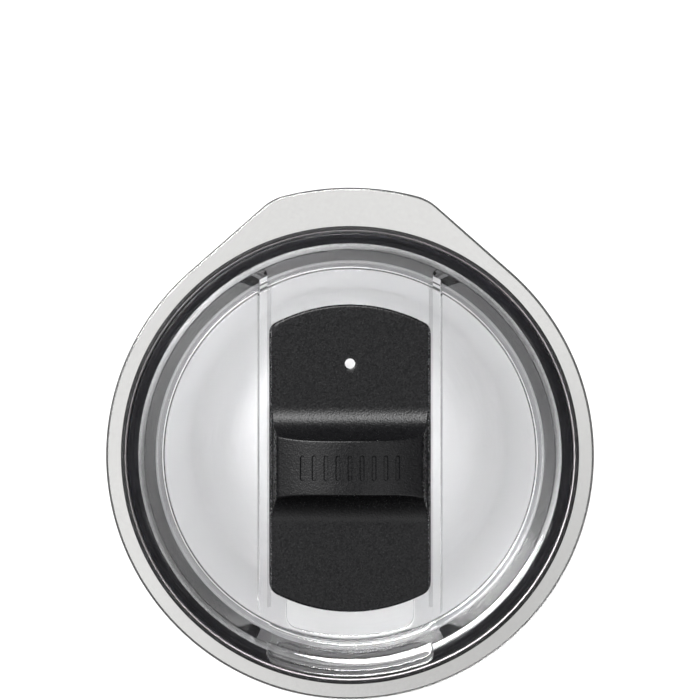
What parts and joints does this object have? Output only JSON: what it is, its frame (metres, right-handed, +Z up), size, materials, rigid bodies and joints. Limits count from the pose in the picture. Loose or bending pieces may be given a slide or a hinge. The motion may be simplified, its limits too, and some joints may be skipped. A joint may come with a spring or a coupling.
{
  "type": "insulated tumbler with lid",
  "caption": "Vacuum-insulated steel tumbler with a clear press-in lid, thumb tab and a black sliding drink closure.",
  "frame": {"origin": "centre of the foot's underside, on the tumbler's axis, where it stands on a table", "axes": "+Z up along the tumbler's axis, +Y towards the lid's thumb tab, -Y towards the side that is drunk from"},
  "size_m": [0.0928, 0.0973, 0.1724],
  "materials": {
    "shell_coat": "fine-grained black powder coat",
    "base_steel": "bare, brushed round",
    "liner_steel": "electropolished satin",
    "foil": "bright foil",
    "getter_alloy": "sintered powder",
    "bead_glass": "solder glass",
    "lid_clear": "clear, polished",
    "gasket_silicone": "satin silicone",
    "slider_plastic": "fine spark-eroded texture",
    "seal_silicone": "satin silicone",
    "foot_silicone": "matt silicone"
  },
  "bodies": {
    "tumbler": {"outer_shell": "shell_coat", "inner_liner": "liner_steel", "shell_bottom": "liner_steel", "bottom_cover": "base_steel", "foot_pad": "foot_silicone", "radiation_foil": "foil", "getter": "getter_alloy", "getter_clip": "liner_steel", "sealing_bead": "bead_glass"},
    "gasket": {"lid_gasket": "gasket_silicone"},
    "lid": {"lid_body": "lid_clear"},
    "slider_unit": {"slider": "slider_plastic", "slider_seal": "seal_silicone"}
  },
  "joints": [
    {"name": "lid_lift", "type": "slide", "parent": "tumbler", "child": "gasket", "axis": [0, 0, 1], "range_m": [0, 0.06]},
    {"name": "lid_turn", "type": "hinge", "parent": "gasket", "child": "lid", "pos_m": [0, 0, 0.17], "axis": [0, 0, 1], "continuous": true},
    {"name": "slider_slide", "type": "slide", "parent": "lid", "child": "slider_unit", "axis": [0, 1, 0], "range_m": [-0.0053, 0.0065]}
  ]
}
